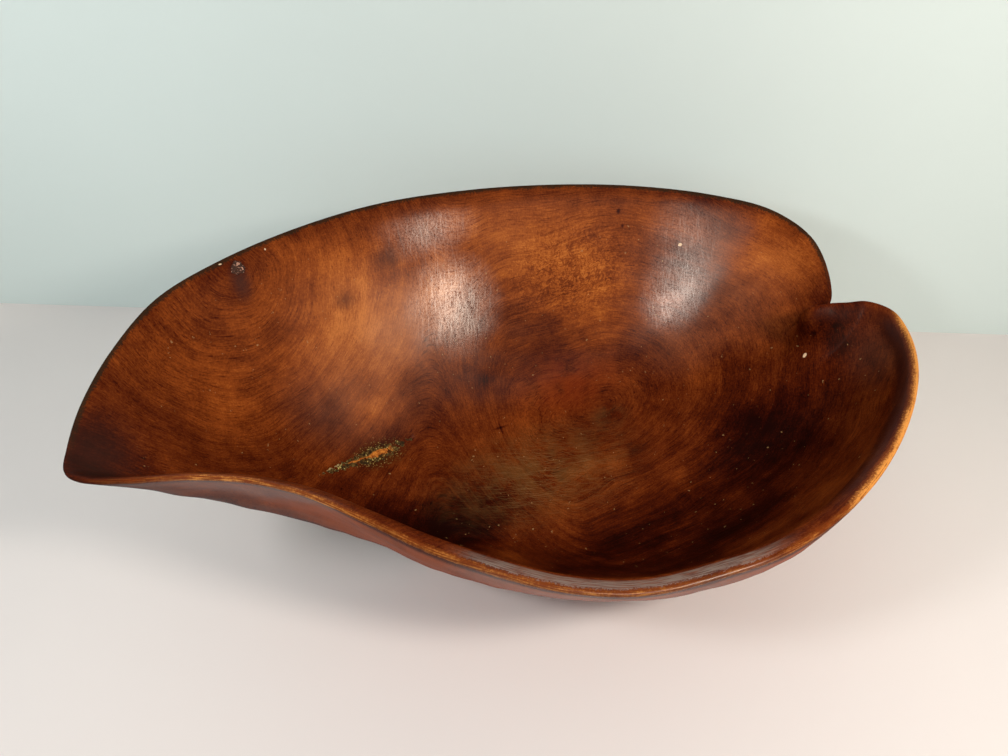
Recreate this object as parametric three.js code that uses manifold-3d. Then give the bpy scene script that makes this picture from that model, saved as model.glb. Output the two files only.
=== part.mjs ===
// Leaf-shaped bowl carved from one block of wood.
// Millimetres, +Z up. +X runs along the leaf from its tip to its notch, +Y points to its high side.
// The origin is on the table, under the middle of the bowl.

import * as THREE from 'three';
import Module from 'manifold-3d';

const wasm = await Module();
wasm.setup();

// Driving dimensions of the rim. Each station is a point of the rim's outer edge: x, y, height.
// The first is the bottom of the notch, and they go round the high side to the tip and back.
const rimStations = [
  [224, -3.5, 131], [235, 0.5, 121], [250.5, 4.5, 123.5], [257, 22, 139], [259, 50, 152.5],
  [245, 84, 161], [203.5, 109.5, 170], [143.5, 133.5, 178], [78.5, 151.5, 183], [11.5, 162.5, 186],
  [-53, 165.5, 187], [-115.5, 155.5, 186], [-173, 137, 183], [-214, 116.5, 178], [-243.8, 82, 171],
  [-262.5, 44.5, 166], [-270.5, 14, 163], [-271.8, -3, 162], [-264, -13, 162], [-243.5, -21, 161],
  [-213, -28, 158], [-185, -37, 153], [-159, -50, 145], [-132, -71.5, 135], [-105, -94, 124],
  [-76.5, -115.5, 116], [-43.5, -138, 111], [-3.5, -155.7, 109], [42, -163.3, 111],
  [90, -165.2, 115], [149, -151, 120], [201, -124, 126], [242.5, -89, 131], [265, -56.5, 133],
  [272, -31.5, 134], [263.5, -15.5, 133.5], [248, -11.5, 134], [234, -8, 134.5],
];
const stepsPerStation = 4;
const tipStation = 17;

// The rim round the bowl. Each row is a station, the rim's thickness there, square to the edge in
// plan, and the share of the way down at which its inner side has finished rolling over.
const rimSections = [
  [0, 6, 0.05],
  [6, 5, 0.05],
  [13, 5, 0.05],
  [17, 5, 0.03],
  [21, 7, 0.03],
  [25, 12, 0.02],
  [30, 12, 0.02],
  [33, 7, 0.04],
  [38, 6, 0.05],
];
const rimRounding = 3;
const noseRise = 6;
const noseFall = 0.8;
const noseStep = 1 / 60;

// The flat foot that the bowl stands on, and the thickness of the floor above it.
const footCentre = new THREE.Vector2(0, 8);
const footHalfLength = 66;
const footHalfWidth = 44;
const floorThickness = 15;
const thickeningPower = 1.2;

// How the outside runs from rim to foot. Each row is a direction seen from the foot in degrees
// (0 is the notch, 90 the high side, 180 the tip), the wall's steepness at the rim in degrees,
// and how far the steep start and the flat end reach, as shares of the way from rim to foot.
const wallDirections = [
  [0, 73, 0.38, 0.32],
  [50, 67, 0.36, 0.31],
  [110, 61, 0.36, 0.29],
  [160, 60, 0.34, 0.28],
  [182, 48, 0.32, 0.24],
  [198, 60, 0.4, 0.26],
  [225, 84, 0.25, 0.22],
  [260, 74, 0.27, 0.3],
  [300, 85, 0.34, 0.36],
  [335, 80, 0.42, 0.35],
  [360, 73, 0.38, 0.32],
];

// The body under the rim is rounder than the rim: the tip and the notch die out down the wall.
const bodyRounding = 60;
const endRounding = 85;
const endStart = 100;
const endReach = 120;
const tipFade = 0.42;
const notchFade = 0.16;
const notchReach = 80;
const tipPull = 3;
const tipPullReach = 90;
const squareRimShare = 0.25;
const floorShareStart = 0.88;
const depthStep = 0.09;

const wallRows = 11;
const lipRows = 6;

// A strip of bark left in the wood, laid open in the wall just above the floor: its middle line
// along the inside of the bowl, its greatest width and how deep it reaches under the surface.
const barkLine = [
  [-143.5, 43.5, 52], [-132, 50.5, 45.5], [-113, 59.5, 37.7], [-93, 65.5, 33.3], [-67, 72.5, 31],
];
const barkWidth = 9;
const barkDepth = 3.2;
const barkFacing = new THREE.Vector3(0.36, -0.4, 0.84).normalize();
const barkSections = 14;

// A small knot in the high side, just under the rim near the tip.
const knotPlace = new THREE.Vector3(-160.8, 133.6, 175.8);
const knotAxis = new THREE.Vector3(0.26, -0.77, 0.58).normalize();
const knotRadius = 4.5;
const knotDepth = 3;
const knotTaper = 0.75;

// Room left between the bowl and each piece set in it, and facets round each piece.
const pieceGap = 0.3;
const pieceFacets = 16;

const woodColour = 0x8a4a22;
const barkColour = 0x5a4630;
const knotColour = 0x5e2618;
const woodRoughness = 0.4;
const barkRoughness = 0.8;
const knotRoughness = 0.5;

const columns = rimStations.length * stepsPerStation;

function bell(distance, reach) {
  return Math.exp(-((distance / reach) ** 2));
}

function smoothStep(share) {
  const s = THREE.MathUtils.clamp(share, 0, 1);
  return s * s * (3 - 2 * s);
}

function planDistance(a, b) {
  return Math.hypot(a.x - b.x, a.y - b.y);
}

function neighbours(points, index) {
  const before = points[(index + points.length - 1) % points.length];
  const after = points[(index + 1) % points.length];
  return [before, after];
}

// Unit vector in plan, square to a closed line and pointing into it.
function inwardDirections(points) {
  return points.map((_, index) => {
    const [before, after] = neighbours(points, index);
    return new THREE.Vector3(before.y - after.y, after.x - before.x, 0).normalize();
  });
}

// The rounder line that the body follows: each point is the mean of the rim around it,
// weighted by a bell along the rim's length in plan.
function roundedOutline(points, reaches) {
  const along = [0];
  for (let i = 1; i <= points.length; i += 1) {
    along.push(along[i - 1] + planDistance(points[i - 1], points[i % points.length]));
  }
  const length = along[points.length];
  const share = points.map((point, index) => {
    const [before, after] = neighbours(points, index);
    return (planDistance(point, before) + planDistance(point, after)) / 2;
  });
  return points.map((_, index) => {
    const mean = new THREE.Vector3();
    let total = 0;
    points.forEach((other, otherIndex) => {
      const straight = Math.abs(along[index] - along[otherIndex]);
      const weight = share[otherIndex] * bell(Math.min(straight, length - straight), reaches[index]);
      mean.addScaledVector(other, weight);
      total += weight;
    });
    return mean.divideScalar(total);
  });
}

// The values of a list of rows at one spot, eased between the two rows around it.
function easedRow(rows, spot) {
  const next = rows.findIndex((row) => row[0] > spot);
  const [from, to] = [rows[next - 1], rows[next]];
  const share = smoothStep((spot - from[0]) / (to[0] - from[0]));
  return from.slice(1).map((value, k) => THREE.MathUtils.lerp(value, to[k + 1], share));
}

// The point of the foot's edge under a point of the outline.
function footPoint(point) {
  const across = (point.y - footCentre.y) / footHalfWidth;
  const angle = Math.atan2(across, (point.x - footCentre.x) / footHalfLength);
  const x = footCentre.x + footHalfLength * Math.cos(angle);
  return new THREE.Vector3(x, footCentre.y + footHalfWidth * Math.sin(angle), 0);
}

// One rib of the outside: a curve that starts steep at the rim and lands flat on the foot.
function wallRib(point, direction) {
  const seen = Math.atan2(point.y - footCentre.y, point.x - footCentre.x);
  const degrees = (THREE.MathUtils.radToDeg(seen) + 360) % 360;
  const [steepness, steepReach, flatReach] = easedRow(wallDirections, degrees);
  const top = point.clone().setZ(point.z - rimRounding);
  const foot = footPoint(point);
  const span = top.distanceTo(foot);
  const lean = THREE.MathUtils.degToRad(steepness);
  const start = direction.clone().multiplyScalar(Math.cos(lean)).setZ(-Math.sin(lean));
  const outward = new THREE.Vector3(foot.x - footCentre.x, foot.y - footCentre.y, 0);
  return new THREE.CubicBezierCurve3(
    top,
    top.clone().addScaledVector(start, steepReach * span),
    foot.clone().addScaledVector(outward.normalize(), flatReach * span),
    foot,
  );
}

const rimCurve = new THREE.CatmullRomCurve3(
  rimStations.map(([x, y, z]) => new THREE.Vector3(x, y, z)),
  true,
  'centripetal',
);
const rim = Array.from({ length: columns }, (_, i) => rimCurve.getPoint(i / columns));
const rimInward = inwardDirections(rim);
const tip = rimStations[tipStation];
const rimTip = new THREE.Vector2(tip[0], tip[1]);
const notch = new THREE.Vector2(rimStations[0][0], rimStations[0][1]);
const roundings = rim.map((point) => {
  return THREE.MathUtils.lerp(bodyRounding, endRounding, smoothStep((point.x - endStart) / endReach));
});
const outline = roundedOutline(rim, roundings);
const outlineInward = inwardDirections(outline);

// Near the tip the ribs turn towards the foot, so that they do not cross inside the point.
const ribs = outline.map((point, column) => {
  const toFoot = new THREE.Vector3(footCentre.x - point.x, footCentre.y - point.y, 0).normalize();
  const pull = tipPull * bell(planDistance(point, rimTip), tipPullReach);
  const direction = outlineInward[column].clone().addScaledVector(toFoot, pull).normalize();
  return wallRib(point, direction);
});

const cornerFades = rim.map((point) => {
  return THREE.MathUtils.lerp(tipFade, notchFade, bell(planDistance(point, notch), notchReach));
});

// A point of the outside: a place on a rib, and the corner that was rounded away, dying out.
function outside(column, depth) {
  const index = (column + columns) % columns;
  const corner = rim[index].clone().sub(outline[index]);
  const left = bell(depth, cornerFades[index]) * (1 - depth) ** 2;
  return ribs[index].getPoint(depth).addScaledVector(corner, left);
}

const [rimWidths, rollDepths] = [0, 1].map((value) => {
  return rim.map((_, column) => easedRow(rimSections, column / stepsPerStation)[value]);
});

// The direction from outside to inside: level and square to the rim at the top, square to the
// wall lower down, straight up at the foot.
function throughWall(column, depth) {
  const around = outside(column + 1, depth).sub(outside(column - 1, depth));
  const down = outside(column, Math.min(depth + depthStep, 1));
  down.sub(outside(column, Math.max(depth - depthStep, 0)));
  const square = around.cross(down).normalize();
  const share = smoothStep(depth / squareRimShare);
  const direction = rimInward[column].clone().lerp(square, share).normalize();
  const floorShare = smoothStep((depth - floorShareStart) / (1 - floorShareStart));
  return direction.lerp(new THREE.Vector3(0, 0, 1), floorShare).normalize();
}

// A point of the inside: the outside moved through the wall, which thickens towards the floor.
function inside(column, depth) {
  const thickening = (floorThickness - rimWidths[column]) * depth ** thickeningPower;
  const through = throughWall(column, depth);
  return outside(column, depth).addScaledVector(through, rimWidths[column] + thickening);
}

const rowsDown = Array.from({ length: wallRows + 1 }, (_, row) => row / wallRows);

const outerRings = rowsDown.map((depth) => rim.map((_, column) => {
  const point = outside(column, depth);
  return depth === 1 ? point.setZ(0) : point;
}));

const innerRings = rowsDown.map((share) => rim.map((_, column) => {
  return inside(column, rollDepths[column] + (1 - rollDepths[column]) * share);
}));

// The rim's nose: a curve that leaves the outside going up and meets the inside along its wall.
const noses = rim.map((_, column) => {
  const start = outside(column, 0);
  const end = innerRings[0][column];
  const under = inside(column, rollDepths[column] + (1 - rollDepths[column]) * noseStep);
  const upTheWall = end.clone().sub(under).normalize();
  return new THREE.CubicBezierCurve3(
    start,
    start.clone().setZ(start.z + noseRise),
    end.clone().addScaledVector(upTheWall, (start.z - end.z) * noseFall),
    end,
  );
});
const rimRolls = Array.from({ length: lipRows - 1 }, (_, roll) => {
  return noses.map((nose) => nose.getPoint((roll + 1) / lipRows));
});

// A closed skin over rings of equal length, drawn in to a middle point at each end.
function closedSolid(rings, firstMiddle, lastMiddle) {
  const count = rings[0].length;
  const points = [firstMiddle, ...rings.flat(), lastMiddle];
  const last = points.length - 1;
  const at = (ring, column) => 1 + ring * count + (column % count);
  const triangles = [];
  for (let column = 0; column < count; column += 1) {
    triangles.push(0, at(0, column + 1), at(0, column));
    for (let ring = 0; ring < rings.length - 1; ring += 1) {
      const corners = [at(ring, column), at(ring, column + 1)];
      corners.push(at(ring + 1, column + 1), at(ring + 1, column));
      triangles.push(corners[0], corners[1], corners[2], corners[0], corners[2], corners[3]);
    }
    triangles.push(at(rings.length - 1, column), at(rings.length - 1, column + 1), last);
  }
  const mesh = new wasm.Mesh({
    numProp: 3,
    vertProperties: new Float32Array(points.flatMap((point) => point.toArray())),
    triVerts: new Uint32Array(triangles),
  });
  return new wasm.Manifold(mesh);
}

const wholeBowl = closedSolid(
  [...[...outerRings].reverse(), ...rimRolls, ...innerRings],
  new THREE.Vector3(footCentre.x, footCentre.y, 0),
  new THREE.Vector3(footCentre.x, footCentre.y, floorThickness),
);

// A spindle along the bark's middle line, lying in the wall's surface.
function barkSpindle(growth) {
  const line = new THREE.CatmullRomCurve3(barkLine.map(([x, y, z]) => new THREE.Vector3(x, y, z)));
  const rings = [];
  for (let section = 1; section < barkSections; section += 1) {
    const share = section / barkSections;
    const middle = line.getPoint(share);
    const across = new THREE.Vector3().crossVectors(barkFacing, line.getTangent(share)).normalize();
    const fullness = Math.sqrt(Math.sin(Math.PI * share));
    const ring = [];
    for (let facet = 0; facet < pieceFacets; facet += 1) {
      const angle = (2 * Math.PI * facet) / pieceFacets;
      const side = ((barkWidth / 2) * fullness + growth) * Math.cos(angle);
      const deep = (barkDepth * fullness + growth) * Math.sin(angle);
      ring.push(middle.clone().addScaledVector(across, side).addScaledVector(barkFacing, deep));
    }
    rings.push(ring);
  }
  const ends = [0, 1].map((share) => {
    const away = line.getTangent(share).multiplyScalar(share === 0 ? -growth : growth);
    return line.getPoint(share).add(away);
  });
  return closedSolid(rings, ends[0], ends[1]);
}

// A short tapered plug square to the wall, wider at the surface of the wood.
function knotPlug(growth) {
  const side = new THREE.Vector3().crossVectors(knotAxis, new THREE.Vector3(0, 0, 1)).normalize();
  const other = new THREE.Vector3().crossVectors(knotAxis, side);
  const ends = [-knotDepth - growth, knotDepth].map((deep) => {
    return knotPlace.clone().addScaledVector(knotAxis, deep);
  });
  const radii = [knotRadius * knotTaper + growth, knotRadius + growth];
  const rings = ends.map((end, index) => Array.from({ length: pieceFacets }, (_, facet) => {
    const angle = (2 * Math.PI * facet) / pieceFacets;
    const radius = radii[index];
    const point = end.clone().addScaledVector(side, radius * Math.cos(angle));
    return point.addScaledVector(other, radius * Math.sin(angle));
  }));
  return closedSolid(rings, ends[0], ends[1]);
}

const carvedBowl = wholeBowl.subtract(barkSpindle(pieceGap)).subtract(knotPlug(pieceGap));
const barkStrip = wholeBowl.intersect(barkSpindle(0));
const rimKnot = wholeBowl.intersect(knotPlug(0));

function namedMesh(name, solid, color, roughness) {
  const made = solid.getMesh();
  const geometry = new THREE.BufferGeometry();
  geometry.setAttribute('position', new THREE.BufferAttribute(made.vertProperties, 3));
  geometry.setIndex(new THREE.BufferAttribute(made.triVerts, 1));
  geometry.computeVertexNormals();
  const material = new THREE.MeshStandardMaterial({ color, roughness });
  const mesh = new THREE.Mesh(geometry, material);
  mesh.name = name;
  return mesh;
}

const bowl = new THREE.Group();
bowl.name = 'leaf_bowl_carved';
bowl.add(namedMesh('leaf_bowl', carvedBowl, woodColour, woodRoughness));
bowl.add(namedMesh('bark_inclusion', barkStrip, barkColour, barkRoughness));
bowl.add(namedMesh('rim_knot', rimKnot, knotColour, knotRoughness));

export default bowl;
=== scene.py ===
# %% [markdown]
# # A leaf-shaped bowl carved from one block
# The bowl is a single piece of wood, hollowed like a big heart-shaped leaf: a pointed tip at one
# end, a cleft where the stalk would be at the other, and one side higher than the other.
# Everything is in metres, in the frame of the construction model: X runs from the tip to the
# cleft, Y to the high side, Z up, with the table at zero.

import bpy
import numpy as np
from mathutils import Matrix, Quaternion, Vector


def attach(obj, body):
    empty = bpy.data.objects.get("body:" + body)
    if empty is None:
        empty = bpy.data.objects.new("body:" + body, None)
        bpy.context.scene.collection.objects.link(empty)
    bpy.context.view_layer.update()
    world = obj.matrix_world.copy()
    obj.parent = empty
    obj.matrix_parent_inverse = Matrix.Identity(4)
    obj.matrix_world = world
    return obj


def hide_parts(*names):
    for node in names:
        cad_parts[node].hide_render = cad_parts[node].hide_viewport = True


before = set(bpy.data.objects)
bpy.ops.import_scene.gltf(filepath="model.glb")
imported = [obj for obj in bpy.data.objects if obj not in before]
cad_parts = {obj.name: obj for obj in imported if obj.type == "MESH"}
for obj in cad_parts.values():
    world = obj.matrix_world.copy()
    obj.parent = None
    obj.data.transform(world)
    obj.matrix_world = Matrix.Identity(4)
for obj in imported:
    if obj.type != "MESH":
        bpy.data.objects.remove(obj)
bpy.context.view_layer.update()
MM = 0.001

# %% [markdown]
# ## Where the photographer stood
# The picture was taken from just above the near side, looking down by about 42 degrees with the
# wide lens of a phone. A camera is a place, a direction and a lens, so those three are written
# down, and the rest follows. A wide lens close by makes the near rim look larger than the far one.

# %% Camera
camera_place = np.array([-156.3, -334.3, 464.0]) * MM
camera_turn = np.radians(-22.17)
camera_pitch = np.radians(42.0)
lens_mm = 27.04
sensor_mm = 36.0

camera_data = bpy.data.cameras.new("camera")
camera_data.lens = lens_mm
camera_data.sensor_width = sensor_mm
camera = bpy.data.objects.new("camera", camera_data)
bpy.context.collection.objects.link(camera)
camera.location = camera_place
camera.rotation_euler = (np.pi / 2 - camera_pitch, 0, camera_turn)
bpy.context.scene.camera = camera
bpy.context.scene.view_settings.view_transform = "Standard"
print("camera", np.round(camera_place, 3))

# %% [markdown]
# ## The line of the rim
# A leaf's outline has long easy curves and two sharp events, the tip and the cleft. A smooth curve
# through a few dozen measured stations gives both. The curve is a centripetal Catmull-Rom: it
# passes through every station and does not loop where they are close together, as at the cleft.

# %% Stations of the rim's outer edge
rim_stations = MM * np.array([
    (224, -3.5, 131), (235, 0.5, 121), (250.5, 4.5, 123.5), (257, 22, 139), (259, 50, 152.5),
    (245, 84, 161), (203.5, 109.5, 170), (143.5, 133.5, 178), (78.5, 151.5, 183),
    (11.5, 162.5, 186), (-53, 165.5, 187), (-115.5, 155.5, 186), (-173, 137, 183),
    (-214, 116.5, 178), (-243.8, 82, 171), (-262.5, 44.5, 166), (-270.5, 14, 163),
    (-271.8, -3, 162), (-264, -13, 162), (-243.5, -21, 161), (-213, -28, 158),
    (-185, -37, 153), (-159, -50, 145), (-132, -71.5, 135), (-105, -94, 124),
    (-76.5, -115.5, 116), (-43.5, -138, 111), (-3.5, -155.7, 109), (42, -163.3, 111),
    (90, -165.2, 115), (149, -151, 120), (201, -124, 126), (242.5, -89, 131),
    (265, -56.5, 133), (272, -31.5, 134), (263.5, -15.5, 133.5), (248, -11.5, 134),
    (234, -8, 134.5),
])
stations = len(rim_stations)


def rim_line(place):
    """A point for each place along the rim, counted in stations.

    Between two stations the curve is a cubic that leaves and arrives along the mean direction of
    its neighbours, with each neighbour weighed by the square root of its distance."""
    whole = np.floor(place).astype(int)
    share = (place - whole)[..., None]
    before, start, end, after = (rim_stations[(whole + k) % stations] for k in (-1, 0, 1, 2))
    gap_0, gap_1, gap_2 = (
        np.sqrt(np.linalg.norm(b - a, axis=-1))[..., None]
        for a, b in ((before, start), (start, end), (end, after))
    )
    leaving = (start - before) / gap_0 - (end - before) / (gap_0 + gap_1) + (end - start) / gap_1
    arriving = (end - start) / gap_1 - (after - start) / (gap_1 + gap_2) + (after - end) / gap_2
    return (
        (2 * share**3 - 3 * share**2 + 1) * start
        + (share**3 - 2 * share**2 + share) * leaving * gap_1
        + (3 * share**2 - 2 * share**3) * end
        + (share**3 - share**2) * arriving * gap_1
    )


places = np.arange(0, stations, 1 / 24)
rim = rim_line(places)
print("rim length", round(float(np.linalg.norm(np.roll(rim, -1, 0) - rim, axis=1).sum()), 3), "m")

# %% [markdown]
# ## From rim to foot
# Under the rim the body is rounder than the leaf's outline: the tip and the cleft die out down the
# wall. So the ribs of the body start on a smoothed copy of the rim, and what was smoothed away is
# added back near the top. Each rib is a Bezier curve that leaves the rim steeply and lands flat on
# an oval foot. How steep, and how far each end reaches, changes round the bowl.

# %% Body under the rim
tip_station = 17
tip = rim_stations[tip_station]
body_rounding, end_rounding = 60 * MM, 85 * MM
tip_fade, cleft_fade, cleft_reach = 0.42, 0.16, 80 * MM
tip_pull, tip_pull_reach = 3.0, 90 * MM
rim_rounding, nose_rise, nose_fall = 3 * MM, 6 * MM, 0.8
foot_centre = np.array([0, 8]) * MM
foot_half = np.array([66, 44]) * MM
floor_thickness = 15 * MM
wall_directions = np.array([
    # seen from the foot, steepness at the rim, reach of the steep start, reach of the flat end
    (0, 73, 0.38, 0.32),
    (50, 67, 0.36, 0.31),
    (110, 61, 0.36, 0.29),
    (160, 60, 0.34, 0.28),
    (182, 48, 0.32, 0.24),
    (198, 60, 0.4, 0.26),
    (225, 84, 0.25, 0.22),
    (260, 74, 0.27, 0.3),
    (300, 85, 0.34, 0.36),
    (335, 80, 0.42, 0.35),
    (360, 73, 0.38, 0.32),
])


def bell(distance, reach):
    """One at the middle, falling smoothly to nothing: e to the minus square of distance/reach."""
    return np.exp(-((distance / reach) ** 2))


def ease(share):
    """Nought to one with level ends: 3 s squared minus 2 s cubed."""
    share = np.clip(share, 0, 1)
    return share * share * (3 - 2 * share)


def unit(vectors):
    """The same directions with length one."""
    return vectors / np.maximum(np.linalg.norm(vectors, axis=-1, keepdims=True), 1e-12)


def inward(line):
    """Level unit vectors square to a closed line, pointing into it."""
    along = np.roll(line, -1, 0) - np.roll(line, 1, 0)
    return unit(np.stack([-along[:, 1], along[:, 0], 0 * along[:, 0]], axis=1))


def rounded(line, reach):
    """Each point becomes the mean of the line around it, weighed by a bell along its length."""
    step = np.linalg.norm((np.roll(line, -1, 0) - line)[:, :2], axis=1)
    along = np.cumsum(step) - step
    apart = np.abs(along[:, None] - along[None, :])
    apart = np.minimum(apart, step.sum() - apart)
    weight = bell(apart, reach) * (step + np.roll(step, 1)) / 2
    return weight @ line / weight.sum(axis=1, keepdims=True)


end_share = ease((rim[:, 0] - 100 * MM) / (120 * MM))
outline = rounded(rim, (body_rounding + (end_rounding - body_rounding) * end_share)[:, None])
near_cleft = bell(np.linalg.norm((rim - rim_stations[0])[:, :2], axis=1), cleft_reach)
corner_fade = tip_fade + (cleft_fade - tip_fade) * near_cleft
to_foot = np.column_stack([foot_centre - outline[:, :2], 0 * outline[:, 0]])
pull = tip_pull * bell(np.linalg.norm((outline - tip)[:, :2], axis=1), tip_pull_reach)
rib_direction = unit(inward(outline) + pull[:, None] * unit(to_foot))

seen_from_foot = np.degrees(np.arctan2(-to_foot[:, 1], -to_foot[:, 0])) % 360
following = np.searchsorted(wall_directions[:, 0], seen_from_foot, side="right")
low, high = wall_directions[following - 1], wall_directions[following]
eased = ease((seen_from_foot - low[:, 0]) / (high[:, 0] - low[:, 0]))[:, None]
steepness, steep_reach, flat_reach = (low + (high - low) * eased)[:, 1:].T

rib_top = outline - (0, 0, rim_rounding)
foot_angle = np.arctan2(-to_foot[:, 1] / foot_half[1], -to_foot[:, 0] / foot_half[0])
foot_side = np.stack([np.cos(foot_angle), np.sin(foot_angle), 0 * foot_angle], axis=1)
rib_foot = foot_side * (*foot_half, 0) + (*foot_centre, 0)
span = np.linalg.norm(rib_top - rib_foot, axis=1)[:, None]
lean = np.radians(steepness)[:, None]
start_direction = rib_direction * np.cos(lean) - (0, 0, 1) * np.sin(lean)
foot_direction = unit(foot_side * (*foot_half, 0))
rib_points = np.stack([
    rib_top,
    rib_top + start_direction * steep_reach[:, None] * span,
    rib_foot + foot_direction * flat_reach[:, None] * span,
    rib_foot,
])
print("ribs", rib_points.shape[1], "steepness", steepness.min().round(), steepness.max().round())

# %% [markdown]
# ## Both faces of the wall
# The outside is now a function of two numbers: the place along the rim and the depth from rim (0)
# to foot (1). The inside is the outside moved through the wall: level and square to the rim at the
# top, square to the wall further down, straight up at the foot. The wall thickens downwards, as
# it does on a bowl that is hollowed by hand.

# %% Outside and inside as functions
rim_sections = np.array([
    # station, width of the rim, depth at which the inside has finished rolling over
    (0, 6 * MM, 0.05),
    (6, 5 * MM, 0.05),
    (13, 5 * MM, 0.05),
    (17, 5 * MM, 0.03),
    (21, 7 * MM, 0.03),
    (25, 12 * MM, 0.02),
    (30, 12 * MM, 0.02),
    (33, 7 * MM, 0.04),
    (stations, 6 * MM, 0.05),
])
thickening_power = 1.2
square_share = 0.25
place_step, depth_step = 0.25, 0.09
floor_start = 0.88

following = np.searchsorted(rim_sections[:, 0], places, side="right")
low, high = rim_sections[following - 1], rim_sections[following]
eased = ease((places - low[:, 0]) / (high[:, 0] - low[:, 0]))[:, None]
rim_width, roll_depth = (low + (high - low) * eased)[:, 1:].T
rim_inward = inward(rim)


def at_place(table, place):
    """A value from a table round the rim, taken in proportion between its two nearest rows."""
    spot = (place % stations) * len(table) / stations
    whole = np.floor(spot).astype(int)
    share = spot - whole
    share = share.reshape(share.shape + (1,) * (table.ndim - 1))
    return table[whole % len(table)] * (1 - share) + table[(whole + 1) % len(table)] * share


def outside(place, depth):
    """The rib's Bezier curve, plus the corner that was smoothed away, fading like a bell."""
    s = depth[..., None]
    p0, p1, p2, p3 = (at_place(points, place) for points in rib_points)
    rib = (1 - s) ** 3 * p0 + 3 * (1 - s) ** 2 * s * p1 + 3 * (1 - s) * s**2 * p2 + s**3 * p3
    fade = at_place(corner_fade, place)[..., None]
    return rib + at_place(rim - outline, place) * bell(s, fade) * (1 - s) ** 2


def through_wall(place, depth):
    """Unit vectors from outside to inside: the cross product of the two directions of the grid."""
    around = outside(place + place_step, depth) - outside(place - place_step, depth)
    down = outside(place, np.minimum(depth + depth_step, 1))
    down = down - outside(place, np.maximum(depth - depth_step, 0))
    square = unit(np.cross(around, down))
    level = at_place(rim_inward, place)
    mixed = unit(level + (square - level) * ease(depth / square_share)[..., None])
    floor_share = ease((depth - floor_start) / (1 - floor_start))[..., None]
    return unit(mixed * (1 - floor_share) + (0, 0, 1) * floor_share)


def inside(place, depth):
    """The outside moved through the wall by a thickness that grows from rim to floor."""
    width = at_place(rim_width, place)
    thickness = width + (floor_thickness - width) * depth**thickening_power
    return outside(place, depth) + through_wall(place, depth) * thickness[..., None]


print("rim", np.round([rim_width.min() / MM, rim_width.max() / MM], 1), "mm wide")

# %% [markdown]
# ## Maths between nodes
# A finish is a sum of many small patterns: grain, stains, wear. Wired by hand they are slow to
# read, so a strand stands for one socket, and Python's own operators add the Math nodes between
# strands. Everything else is one call that names the node, its settings and what feeds it.

# %% A strand of a material
class Strand:
    """One output socket. Strands and numbers add, multiply and so on into new strands."""

    def __init__(self, socket):
        self.socket = socket

    def make(self, kind, settings, feeds, output=0):
        """A new node of a type: settings first, then links or values for its sockets."""
        tree = self.socket.id_data
        node = tree.nodes.new(kind)
        for name, value in settings.items():
            if name == "stops":
                while len(node.color_ramp.elements) < len(value):
                    node.color_ramp.elements.new(0.5)
                for element, (position, colour) in zip(node.color_ramp.elements, value):
                    element.position = position
                    element.color = (*colour, 1)
            else:
                setattr(node, name, value)
        for name, value in feeds.items():
            if isinstance(value, Strand):
                tree.links.new(value.socket, node.inputs[name])
            else:
                node.inputs[name].default_value = value
        return Strand(node.outputs[output])

    def maths(self, operation, first, second=0.0):
        """A sum, product or choice of two numbers or strands."""
        return self.make("ShaderNodeMath", {"operation": operation}, {0: first, 1: second})

    def __add__(self, other):
        return self.maths("ADD", self, other)

    def __radd__(self, other):
        return self.maths("ADD", other, self)

    def __sub__(self, other):
        return self.maths("SUBTRACT", self, other)

    def __rsub__(self, other):
        return self.maths("SUBTRACT", other, self)

    def __mul__(self, other):
        return self.maths("MULTIPLY", self, other)

    def __rmul__(self, other):
        return self.maths("MULTIPLY", other, self)

    def at_least(self, other):
        return self.maths("MAXIMUM", self, other)

    def at_most(self, other):
        return self.maths("MINIMUM", self, other)

    def between(self, low, high):
        """Nought where this is at low, one where it is at high, eased in between."""
        settings = {"interpolation_type": "SMOOTHSTEP"}
        feeds = {"Value": self, "From Min": low, "From Max": high}
        return self.make("ShaderNodeMapRange", settings, feeds)

    def speckle(self, scale, detail=2.0, roughness=0.5, distortion=0.0):
        """Cloudy noise about one half, read at this strand's place."""
        feeds = {"Vector": self, "Scale": scale, "Detail": detail}
        feeds.update({"Roughness": roughness, "Distortion": distortion})
        return self.make("ShaderNodeTexNoise", {}, feeds)

    def axis(self, number):
        """One coordinate of this place: 0 along X, 1 along Y, 2 along Z."""
        return self.make("ShaderNodeSeparateXYZ", {}, {0: self}, number)

    def carried(self, name):
        """A number that the points of the piece carry under a name."""
        return self.make("ShaderNodeAttribute", {"attribute_name": name}, {}, 2)

    def scale_of(self, tones):
        """The colour that a scale of tones has at this value."""
        return self.make("ShaderNodeValToRGB", {"stops": tones}, {"Fac": self})

    def relief(self, strength, depth):
        """A normal that makes light see this strand as a height of so many metres."""
        feeds = {"Strength": strength, "Distance": depth, "Height": self}
        return self.make("ShaderNodeBump", {}, feeds)

    def blend(self, low, high):
        """The colour low where this is nought, and high where it is one."""
        low, high = ((*c, 1) if isinstance(c, tuple) else c for c in (low, high))
        feeds = {0: self, 6: low, 7: high}
        return self.make("ShaderNodeMix", {"data_type": "RGBA"}, feeds, 2)

    def vector(self, operation, other, output=0):
        """The same with three numbers at once."""
        feeds = {0: self, 1: other}
        return self.make("ShaderNodeVectorMath", {"operation": operation}, feeds, output)

    def distance(self, centre_mm, stretch):
        """Distance from a point, in a space squeezed along each axis by its stretch."""
        shift = self.vector("SUBTRACT", tuple(np.array(centre_mm) * MM))
        return shift.vector("DIVIDE", tuple(stretch)).vector("LENGTH", (0, 0, 0), 1)

    def patch(self, centre_mm, reach_mm):
        """One at a centre, easing to nought at an ellipsoid with the given half sizes."""
        return self.distance(centre_mm, np.array(reach_mm) * MM).between(1.0, 0.0)


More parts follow.
